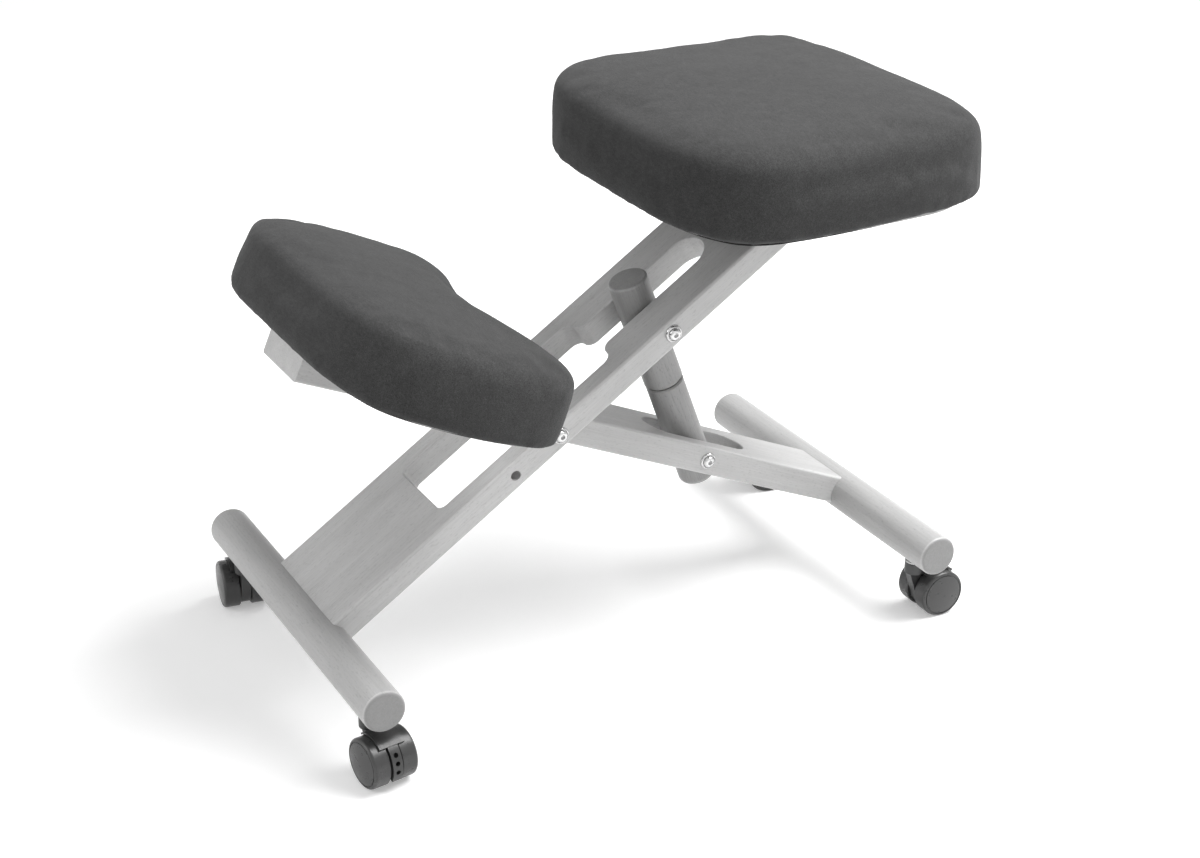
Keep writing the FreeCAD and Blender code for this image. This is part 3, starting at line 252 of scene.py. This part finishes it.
def plastic_material(name, tone, rough=0.42, grain=0.12):
    """Moulded plastic with a fine spark texture and faint wear in its gloss."""
    n = Nodes(name)
    at = n.coordinates()
    fine = n.noise(at, 2600.0, 2.0, 0.6)
    wear = n.noise(at, 90.0, 4.0, 0.65)
    shade = n.math("MULTIPLY", n.remap(wear, 0.3, 0.7, 0.93, 1.07), n.remap(fine, 0.3, 0.7, 0.95, 1.05))
    colour = n.add("ShaderNodeMix", data_type="RGBA", blend_type="MULTIPLY")
    colour.inputs[0].default_value = 1.0
    colour.inputs[6].default_value = grey(tone)
    n.link(shade, colour.inputs[7])
    n.set(Base_Color=colour.outputs[2], IOR=1.5)
    n.set(Roughness=n.remap(wear, 0.3, 0.7, rough - 0.06, rough + 0.08))
    n.set(Normal=n.bump(fine, grain, 0.0003))
    return n.material


def metal_material(name, tone, rough, brushed=0.0):
    """Metal whose gloss varies with fine turning marks and handling."""
    n = Nodes(name)
    at = n.coordinates()
    marks = n.noise(at, 900.0, 3.0, 0.6)
    haze = n.noise(at, 120.0, 4.0, 0.6)
    colour = n.mix(n.remap(haze, 0.3, 0.7, 0.0, 1.0), grey(tone * 0.94), grey(tone))
    n.set(Base_Color=colour, Metallic=1.0)
    n.set(Roughness=n.remap(haze, 0.3, 0.7, rough * 0.8, rough * 1.25))
    if brushed:
        n.set(Normal=n.bump(marks, brushed, 0.0002))
    return n.material


def floor_material():
    """Pale studio floor, lifted towards white where the camera sees it; it keeps its shadow."""
    n = Nodes("studio_floor")
    n.set(Base_Color=(0.86, 0.86, 0.86, 1.0), Roughness=0.9, Specular_IOR_Level=0.1)
    path = n.add("ShaderNodeLightPath")
    seen = n.math("MAXIMUM", path.outputs["Is Camera Ray"], path.outputs["Is Glossy Ray"])
    seen = n.math("MAXIMUM", seen, path.outputs["Is Transmission Ray"])
    glow = n.add("ShaderNodeEmission")
    glow.inputs["Color"].default_value = (1, 1, 1, 1)
    n.link(n.math("MULTIPLY", seen, FLOOR_GLOW), glow.inputs["Strength"])
    both = n.add("ShaderNodeAddShader")
    n.link(n.shader.outputs["BSDF"], both.inputs[0])
    n.link(glow.outputs["Emission"], both.inputs[1])
    n.link(both.outputs["Shader"], n.output.inputs["Surface"])
    return n.material


FLOOR_GLOW = 0.30

MATERIALS = {
    "beam_wood": wood_material("beam_wood", (-BEAM_ANGLE, 0, 0), "Y", 0.53),
    # The leg's wood is a little darker than the beam's: partly its own tone, partly painted shade from the
    # seat above it.
    "leg_wood": wood_material("leg_wood", (LEG_ANGLE, 0, 0), "Y", 0.50),
    "bar_wood": wood_material("bar_wood", (0, 0, 0), "X", 0.42, 1.0, 0, 0.207),
    "barrel_wood": wood_material(
        "barrel_wood", (-ADJUSTER_ANGLE, 0, 0), "Z", 0.30, 1.3, edge_highlight_axis=tuple(DOWN_ADJUSTER),
    ),
    "plywood": wood_material("plywood", (0, 0, 0), "X", 0.40, 1.4),
    "fabric": fabric_material("fabric", 0.044),
    "dust_cover": fabric_material("dust_cover", 0.020),
    "caster_plastic": plastic_material("caster_plastic", 0.034, 0.34),
    "wheel_plastic": plastic_material("wheel_plastic", 0.036, 0.30, 0.08),
    "nylon": plastic_material("nylon", 0.55, 0.5),
    "chrome": metal_material("chrome", 0.60, 0.24),
    "steel": metal_material("steel", 0.48, 0.34, 0.12),
}


def dress(name, key):
    """Gives one CAD node its material."""
    node = NODES[name]
    node.data.materials.clear()
    node.data.materials.append(MATERIALS[key])


def material_for(node):
    if node == "main_beam":
        return "beam_wood"
    if node == "rear_leg":
        return "leg_wood"
    if node.endswith("crossbar"):
        return "bar_wood"
    if node in ("upper_barrel", "lower_barrel"):
        return "barrel_wood"
    if node.endswith("board") or node.endswith("dowels") or node == "seat_bearer":
        return "plywood"
    if node.endswith("cushion"):
        return "fabric"
    if "wheel" in node:
        return "wheel_plastic"
    if node.endswith("housing"):
        return "caster_plastic"
    if node.endswith("sockets") or node.endswith("spacers"):
        return "nylon"
    if node.endswith("cups") or node in ("pivot_bolts", "upper_bolts", "lower_bolts"):
        return "chrome"
    return "steel"


for node_name in NODES:
    dress(node_name, material_for(node_name))


# Mesh helpers


def finish_piece(name, mesh, material, body):
    """Adds a flat-shaded piece that rides one body and stands in one material slot."""
    piece = bpy.data.objects.new(name, mesh)
    bpy.context.scene.collection.objects.link(piece)
    mesh.materials.clear()
    mesh.materials.append(MATERIALS[material])
    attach(piece, body)
    return piece


# Cushions


def unit(x, y):
    length = math.hypot(x, y)
    return (x / length, y / length)


def plan_points(corners, count):
    """A closed smooth plan through mirrored control points, evenly spaced along its length.

    Each control point is (x, y, softness): the corner is rounded by a curve that takes up to
    that share, at most a half, of the plan's straight runs on both sides of the point.
    """
    full = list(corners) + [(-x, y, s) for x, y, s in reversed(corners) if x > 1e-6]
    dense = []
    total = len(full)
    for index in range(total):
        ax, ay, _ = full[index - 1]
        bx, by, soft = full[index]
        cx, cy, _ = full[(index + 1) % total]
        before = math.hypot(ax - bx, ay - by)
        after = math.hypot(cx - bx, cy - by)
        ux, uy = unit(ax - bx, ay - by)
        vx, vy = unit(cx - bx, cy - by)
        start = (bx + ux * before * soft, by + uy * before * soft)
        end = (bx + vx * after * soft, by + vy * after * soft)
        steps = 24
        for step in range(steps + 1):
            t = step / steps
            k0, k1, k2 = (1 - t) ** 2, 2 * t * (1 - t), t * t
            dense.append((k0 * start[0] + k1 * bx + k2 * end[0], k0 * start[1] + k1 * by + k2 * end[1]))
    lengths = [0.0]
    for a, b in zip(dense, dense[1:] + dense[:1]):
        lengths.append(lengths[-1] + math.hypot(b[0] - a[0], b[1] - a[1]))
    points = []
    position = 0
    ring = dense + dense[:1]
    for index in range(count):
        target = lengths[-1] * index / count
        while lengths[position + 1] < target:
            position += 1
        gap = max(lengths[position + 1] - lengths[position], 1e-9)
        t = (target - lengths[position]) / gap
        a, b = ring[position], ring[position + 1]
        points.append((a[0] + (b[0] - a[0]) * t, a[1] + (b[1] - a[1]) * t))
    return points


def inset_points(points, inset):
    """Points moved inwards along the plan's normals, smoothed a little where they crowd."""
    count = len(points)
    moved = []
    for index, (x, y) in enumerate(points):
        ax, ay = points[index - 2]
        bx, by = points[(index + 2) % count]
        tx, ty = unit(bx - ax, by - ay)
        moved.append((x - ty * inset, y + tx * inset))
    return moved


def cushion_mesh(name, plan, thick, crown, top_round, foot_round, bulge, belly):
    """A closed pad: flat foot, sides that swell a little, a rolled rim and a crowned top."""
    mesh = bmesh.new()
    rings = []

    def ring(inset, height, scale=1.0):
        points = inset_points(plan, inset)
        rings.append([mesh.verts.new((x * scale, y * scale, height)) for x, y in points])

    for scale in (0.35, 0.7):
        ring(foot_round, 0.0, scale)
    for step in range(4, -1, -1):
        turn = math.radians(90 * step / 4)
        ring(foot_round * (1 - math.cos(turn)) + bulge, foot_round * (1 - math.sin(turn)))
    side_low, side_high = foot_round, thick - top_round
    for step in range(1, 8):
        t = step / 8
        ring(bulge * (1 - math.sin(math.pi * t)), side_low + (side_high - side_low) * t)
    for step in range(0, 9):
        turn = math.radians(90 * step / 8)
        ring(bulge + top_round * (1 - math.cos(turn)), side_high + top_round * math.sin(turn))
    for scale in (0.93, 0.84, 0.72, 0.58, 0.42, 0.26, 0.12):
        height = thick + crown * (1 - scale ** belly)
        ring(bulge + top_round, height, scale)
    for low, high in zip(rings, rings[1:]):
        count = len(low)
        for index in range(count):
            after = (index + 1) % count
            mesh.faces.new((low[index], low[after], high[after], high[index]))
    mesh.faces.new(list(reversed(rings[0])))
    mesh.faces.new(rings[-1])
    bmesh.ops.recalc_face_normals(mesh, faces=mesh.faces)
    data = bpy.data.meshes.new(name)
    mesh.to_mesh(data)
    mesh.free()
    return data


def apply_modifiers(piece):
    graph = bpy.context.evaluated_depsgraph_get()
    evaluated = piece.evaluated_get(graph)
    data = bpy.data.meshes.new_from_object(evaluated)
    old = piece.data
    piece.modifiers.clear()
    piece.data = data
    bpy.data.meshes.remove(old)


CLOTH_VOXEL = 0.005
CLOTH_PRESSURE = 4.0
CLOTH_PINNED_BELOW = 0.006
CLOTH_FRAMES = 20


def swell(piece, cap):
    """Remeshes the pad and inflates it as cloth, with no point moving further than the cap."""
    remesh = piece.modifiers.new("voxels", "REMESH")
    remesh.mode = "VOXEL"
    remesh.voxel_size = CLOTH_VOXEL
    apply_modifiers(piece)
    rest = [v.co.copy() for v in piece.data.vertices]
    group = piece.vertex_groups.new(name="held")
    group.add([i for i, co in enumerate(rest) if co.z < CLOTH_PINNED_BELOW], 1.0, "REPLACE")
    cloth = piece.modifiers.new("cloth", "CLOTH")
    settings = cloth.settings
    settings.quality = 5
    settings.mass = 0.25
    settings.vertex_group_mass = "held"
    settings.use_pressure = True
    settings.uniform_pressure_force = CLOTH_PRESSURE
    settings.tension_stiffness = 18
    settings.compression_stiffness = 18
    settings.shear_stiffness = 8
    settings.bending_stiffness = 1.2
    settings.effector_weights.gravity = 0
    cloth.collision_settings.use_collision = False
    cloth.point_cache.frame_start = 1
    cloth.point_cache.frame_end = CLOTH_FRAMES
    scene = bpy.context.scene
    for step in range(1, CLOTH_FRAMES + 1):
        scene.frame_set(step)
    graph = bpy.context.evaluated_depsgraph_get()
    moved = piece.evaluated_get(graph).to_mesh()
    targets = [v.co.copy() for v in moved.vertices]
    piece.evaluated_get(graph).to_mesh_clear()
    piece.modifiers.clear()
    scene.frame_set(1)
    for vertex, start, target in zip(piece.data.vertices, rest, targets):
        step = target - start
        if step.length > cap:
            step *= cap / step.length
        vertex.co = start + step
    piece.vertex_groups.clear()
    smooth = piece.modifiers.new("smooth", "SMOOTH")
    smooth.factor = 0.5
    smooth.iterations = 4
    divide = piece.modifiers.new("divide", "SUBSURF")
    divide.levels = 1
    divide.render_levels = 1
    apply_modifiers(piece)


def shape_cloth(piece, thick, pucker, seed):
    """Slow lumps of foam under the cover, and small gathers where it turns under the board."""
    shift = Vector((seed, seed * 0.7, seed * 1.3))
    vertices = piece.data.vertices
    normals = [vertex.normal.copy() for vertex in vertices]
    placed = []
    for vertex, normal in zip(vertices, normals):
        co = vertex.co.copy()
        lump = noise.noise(co * 14.0 + shift) * 0.0006 + noise.noise(co * 34.0 + shift) * 0.0003
        low = max(0.0, 1.0 - co.z / (thick * 0.33))
        gather = 0.0
        if co.z > 0.001:
            gather = noise.noise(Vector((co.x * 70, co.y * 70, co.z * 9)) + shift) * pucker * low
        lift = min(1.0, max(0.0, co.z / 0.004))
        placed.extend(co + normal * (lump * lift + gather))
    vertices.foreach_set("co", placed)
    piece.data.update()


def make_cushion(name, node, body, place, plan, sizes, seed):
    thick, crown, top_round, foot_round, bulge, belly, margin, cap, pucker = sizes
    data = cushion_mesh(
        name, inset_points(plan, margin), thick - margin, crown, top_round, foot_round, bulge, belly,
    )
    piece = bpy.data.objects.new(name, data)
    bpy.context.scene.collection.objects.link(piece)
    swell(piece, cap)
    shape_cloth(piece, thick, pucker, seed)
    piece.data.transform(place)
    piece.data.shade_smooth()
    piece.data.materials.clear()
    piece.data.materials.append(MATERIALS["fabric"])
    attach(piece, body)
    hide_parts(node)
    return piece


PLAN_COUNT = 260
SEAT_PLAN = plan_points([
    (0.0, -0.1795, 0.5), (0.124, -0.1785, 0.48), (0.2030, -0.1385, 0.44), (0.2125, -0.02, 0.5),
    (0.1965, 0.139, 0.42), (0.116, 0.1710, 0.48), (0.0, 0.1715, 0.5),
], PLAN_COUNT)
KNEE_PLAN = plan_points([
    (0.0, -0.134, 0.5), (0.118, -0.1345, 0.42), (0.192, -0.105, 0.42), (0.2125, -0.008, 0.5),
    (0.192, 0.088, 0.42), (0.130, 0.1085, 0.40), (0.044, 0.0805, 0.30), (0.0, 0.0785, 0.45),
], PLAN_COUNT)

make_cushion(
    "seat_pad", "seat_cushion", "main_frame", SEAT_PLACE, SEAT_PLAN,
    (0.084, 0.010, 0.023, 0.009, 0.0016, 2.2, 0.0015, 0.0032, 0.0010), 3.1,
)
make_cushion(
    "knee_pad", "knee_cushion", "leg", KNEE_PLACE, KNEE_PLAN,
    (0.074, 0.009, 0.017, 0.004, 0.0010, 2.2, 0.0015, 0.0028, 0.0009), 8.4,
)


# Underside of the pads


def plan_reach(ring, y):
    """The plan's inner and outer distance from the middle plane on the line at y."""
    found = []
    for a, b in zip(ring, ring[1:] + ring[:1]):
        if (a[1] - y) * (b[1] - y) < 0:
            found.append(a[0] + (b[0] - a[0]) * (y - a[1]) / (b[1] - a[1]))
    found = sorted(x for x in found if x > 0)
    if not found:
        return 0.0, 0.0
    return (found[0] if len(found) > 1 else 0.0), found[-1]


def contact_range(nodes, place, drop=0.002):
    """Where some nodes touch a pad's underside: half width, front and rear in the pad's frame."""
    back = place.inverted()
    touching = []
    for name in nodes:
        node = NODES[name]
        for vertex in node.data.vertices:
            point = back @ (node.matrix_world @ vertex.co)
            if abs(point.z) < drop:
                touching.append(point)
    return max(abs(p.x) for p in touching), min(p.y for p in touching), max(p.y for p in touching)


def thicken(piece, thickness):
    solid = piece.modifiers.new("thickness", "SOLIDIFY")
    solid.thickness = thickness
    solid.offset = 0.0
    apply_modifiers(piece)


def make_dust_cover(name, body, place, plan, hole):
    """Thin dark cloth stapled under a pad, cut out where the frame meets the board, with a hem."""
    width, front, rear = hole
    inset, hem = 0.016, 0.010
    ring = inset_points(plan, inset)
    low, high = min(y for _, y in ring) + 0.0002, max(y for _, y in ring) - 0.0002
    mesh = bmesh.new()

    def strip(start, end, cut):
        if end - start < 0.002:
            return
        rows = max(2, int((end - start) / 0.006))
        for side in (-1, 1):
            grid = []
            for row in range(rows + 1):
                y = start + (end - start) * row / rows
                inner, outer = plan_reach(ring, y)
                inner = max(inner, cut)
                outer = max(outer, inner)
                line = []
                for column in range(11):
                    x = inner + (outer - inner) * column / 10
                    sag = 0.0007 * (0.5 + noise.noise(Vector((side * x * 30, y * 30, 2.0))))
                    line.append(mesh.verts.new((side * x, y, -0.0007 - max(0.0, sag))))
                grid.append(line)
            for near, far in zip(grid, grid[1:]):
                for column in range(10):
                    corners = (near[column], near[column + 1], far[column + 1], far[column])
                    mesh.faces.new(corners if side < 0 else tuple(reversed(corners)))

    strip(low, min(high, front), 0.0)
    strip(max(low, front), min(high, rear), width)
    strip(max(low, rear), high, 0.0)
    inner_ring = inset_points(plan, inset + hem)

    def in_hole(point):
        return abs(point[0]) < width and front < point[1] < rear

    count = len(ring)
    for index in range(count):
        after = (index + 1) % count
        points = (ring[index], ring[after], inner_ring[after], inner_ring[index])
        if not any(in_hole(point) for point in points):
            mesh.faces.new([mesh.verts.new((x, y, -0.0020)) for x, y in points])
    bmesh.ops.remove_doubles(mesh, verts=mesh.verts, dist=0.00005)
    bmesh.ops.dissolve_degenerate(mesh, edges=mesh.edges, dist=0.00002)
    data = bpy.data.meshes.new(name)
    mesh.to_mesh(data)
    mesh.free()
    cover = finish_piece(name, data, "dust_cover", body)
    thicken(cover, 0.0006)
    cover.data.transform(place)

    staples = bmesh.new()
    middle = inset_points(plan, inset + hem / 2)
    every = 9
    for index in range(0, count, every):
        x, y = middle[index]
        if in_hole((x, y)):
            continue
        after = middle[(index + 1) % count]
        turn = math.atan2(after[1] - y, after[0] - x) + random.uniform(-0.12, 0.12)
        spot = Matrix.Translation((x, y, -0.00245)) @ Matrix.Rotation(turn, 4, "Z")
        crown = Matrix.Diagonal((0.0095, 0.0009, 0.0005, 1.0))
        bmesh.ops.create_cube(staples, size=1.0, matrix=spot @ crown)
        for end in (-1, 1):
            leg = spot @ Matrix.Translation((end * 0.0045, 0, 0.0008))
            prong = Matrix.Diagonal((0.0006, 0.0009, 0.0016, 1.0))
            bmesh.ops.create_cube(staples, size=1.0, matrix=leg @ prong)
    data = bpy.data.meshes.new(name + "_staples")
    staples.to_mesh(data)
    staples.free()
    data.transform(place)
    finish_piece(name + "_staples", data, "steel", body)


random.seed(12)
seat_hole = contact_range(("main_beam", "seat_bearer"), SEAT_PLACE)
knee_hole = contact_range(("rear_leg",), KNEE_PLACE)
make_dust_cover(
    "seat_dust_cover", "main_frame", SEAT_PLACE, SEAT_PLAN,
    (seat_hole[0] + 0.004, seat_hole[1] - 0.004, seat_hole[2] + 0.004),
)
make_dust_cover(
    "knee_dust_cover", "leg", KNEE_PLACE, KNEE_PLAN,
    (knee_hole[0] + 0.004, knee_hole[1] - 0.004, 1.0),
)


# Screw thread


def make_thread():
    """The rod's trapezoidal thread round a plain core, run out at both ends."""
    rod = NODES["threaded_rod"]
    along = [(rod.matrix_world @ v.co - UPPER_PIVOT).dot(DOWN_ADJUSTER) for v in rod.data.vertices]
    start, end = min(along), max(along)
    root, crest, pitch, around = 0.0066, 0.00795, 0.003, 32
    mesh = bmesh.new()
    steps = int((end - start - 2 * pitch) / pitch * around)
    profile = ((0.0, 0), (0.36, 1), (0.60, 1), (0.96, 0))
    rows = []
    for step in range(steps + 1):
        turn = 2 * math.pi * step / around
        fade = min(1.0, step / around, (steps - step) / around)
        line = []
        for share, high in profile:
            radius = root + (crest - root) * fade * high - (0.0002 if fade < 1.0 and not high else 0.0)
            depth = start + 0.5 * pitch + pitch * (step / around + share)
            line.append(mesh.verts.new((radius * math.cos(turn), radius * math.sin(turn), -depth)))
        rows.append(line)
    for step in range(steps):
        low, high = rows[step], rows[step + 1]
        for j in range(3):
            mesh.faces.new((low[j], low[j + 1], high[j + 1], high[j]))
        if step + 1 + around <= steps:
            mesh.faces.new((low[3], rows[step + around][0], rows[step + 1 + around][0], high[3]))
    core = []
    bevel = 0.0012
    stations = (
        (start, root - bevel), (start + bevel, root), (end - bevel, root), (end, root - bevel),
    )
    for depth, radius in stations:
        turns = [2 * math.pi * k / around for k in range(around)]
        core.append([
            mesh.verts.new((radius * math.cos(turn), radius * math.sin(turn), -depth)) for turn in turns
        ])
    for low, high in zip(core, core[1:]):
        for k in range(around):
            after = (k + 1) % around
            mesh.faces.new((low[k], low[after], high[after], high[k]))
    mesh.faces.new(list(reversed(core[0])))
    mesh.faces.new(core[-1])
    bmesh.ops.recalc_face_normals(mesh, faces=mesh.faces)
    data = bpy.data.meshes.new("rod_thread")
    mesh.to_mesh(data)
    mesh.free()
    data.transform(Matrix.Translation(UPPER_PIVOT) @ Matrix.Rotation(ADJUSTER_ANGLE, 4, "X"))
    thread = finish_piece("rod_thread", data, "steel", "adjuster_lower")
    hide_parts("threaded_rod")


make_thread()


# Studio


CAMERA_AZIMUTH = math.radians(61.7796)
CAMERA_ELEVATION = math.radians(25.1872)
CAMERA_ROLL = math.radians(-0.2071)
CAMERA_LENS = 66.232
CAMERA_PLACE = Vector((1.79664, FRONT_BAR.y - 0.63136, 1.16522))


def make_camera():
    """The photograph's viewpoint, found from the chair's own straight lines."""
    azimuth, elevation, roll = CAMERA_AZIMUTH, CAMERA_ELEVATION, CAMERA_ROLL
    right = Vector((math.cos(azimuth), math.sin(azimuth), 0.0))
    away = Vector((-math.sin(azimuth), math.cos(azimuth), 0.0))
    up = away * math.sin(elevation) + Vector((0, 0, math.cos(elevation)))
    back = Vector((0, 0, math.sin(elevation))) - away * math.cos(elevation)
    across = right * math.cos(roll) + up * math.sin(roll)
    rise = up * math.cos(roll) - right * math.sin(roll)
    data = bpy.data.cameras.new("camera")
    data.sensor_fit = "HORIZONTAL"
    data.sensor_width = 36.0
    data.lens = CAMERA_LENS
    data.clip_start = 0.05
    data.clip_end = 60.0
    camera = bpy.data.objects.new("camera", data)
    bpy.context.scene.collection.objects.link(camera)
    turn = Matrix((across, rise, back)).transposed().to_4x4()
    camera.matrix_world = Matrix.Translation(CAMERA_PLACE) @ turn
    bpy.context.scene.camera = camera


def make_floor():
    """The floor and a tall backdrop behind it, joined by a bend, square to the photograph's view."""
    mesh = bpy.data.meshes.new("floor")
    sheet = bmesh.new()
    half, back_wall, bend = 9.0, 9.0, 2.0
    profile = [(-half, 0.0), (back_wall - bend, 0.0)]
    for step in range(1, 13):
        turn = math.radians(90 * step / 12)
        profile.append((back_wall - bend + bend * math.sin(turn), bend * (1 - math.cos(turn))))
    profile.append((back_wall, 7.0))
    away = Vector((-math.sin(CAMERA_AZIMUTH), math.cos(CAMERA_AZIMUTH), 0.0))
    side = Vector((math.cos(CAMERA_AZIMUTH), math.sin(CAMERA_AZIMUTH), 0.0))
    rows = []
    for along, height in profile:
        rows.append([
            sheet.verts.new(away * along + side * across + Vector((0, 0, height)))
            for across in (-half * 1.6, half * 1.6)
        ])
    for low, high in zip(rows, rows[1:]):
        sheet.faces.new((low[0], low[1], high[1], high[0]))
    sheet.to_mesh(mesh)
    sheet.free()
    mesh.shade_smooth()
    mesh.materials.append(floor_material())
    floor = bpy.data.objects.new("floor", mesh)
    bpy.context.scene.collection.objects.link(floor)


def soft_light(name, place, target, size, power):
    data = bpy.data.lights.new(name, "AREA")
    data.shape = "DISK"
    data.size = size
    data.energy = power
    light = bpy.data.objects.new(name, data)
    light.location = place
    light.rotation_mode = "QUATERNION"
    light.rotation_quaternion = (Vector(target) - Vector(place)).to_track_quat("-Z", "Y")
    bpy.context.scene.collection.objects.link(light)


def make_world():
    world = bpy.data.worlds.new("studio")
    bpy.context.scene.world = world
    world.use_nodes = True
    tree = world.node_tree
    tree.nodes.clear()
    out = tree.nodes.new("ShaderNodeOutputWorld")
    glow = tree.nodes.new("ShaderNodeBackground")
    path = tree.nodes.new("ShaderNodeLightPath")
    seen = tree.nodes.new("ShaderNodeMath")
    seen.operation = "MAXIMUM"
    tree.links.new(path.outputs["Is Camera Ray"], seen.inputs[0])
    tree.links.new(path.outputs["Is Glossy Ray"], seen.inputs[1])
    more = tree.nodes.new("ShaderNodeMath")
    more.operation = "MAXIMUM"
    tree.links.new(seen.outputs[0], more.inputs[0])
    tree.links.new(path.outputs["Is Transmission Ray"], more.inputs[1])
    level = tree.nodes.new("ShaderNodeMapRange")
    tree.links.new(more.outputs[0], level.inputs["Value"])
    level.inputs["To Min"].default_value = 0.48
    level.inputs["To Max"].default_value = 1.0
    tree.links.new(level.outputs["Result"], glow.inputs["Strength"])
    glow.inputs["Color"].default_value = (1, 1, 1, 1)
    tree.links.new(glow.outputs["Background"], out.inputs["Surface"])


make_camera()
make_floor()
make_world()
soft_light("key", (0.5, 1.3, 2.5), (0, 0, 0.25), 2.2, 122)
soft_light("side", (2.8, 0.4, 1.3), (0, 0, 0.3), 1.6, 3)
soft_light("front", (-0.4, -2.8, 1.4), (0, 0, 0.3), 1.8, 22)
bpy.context.scene.view_settings.view_transform = "Standard"
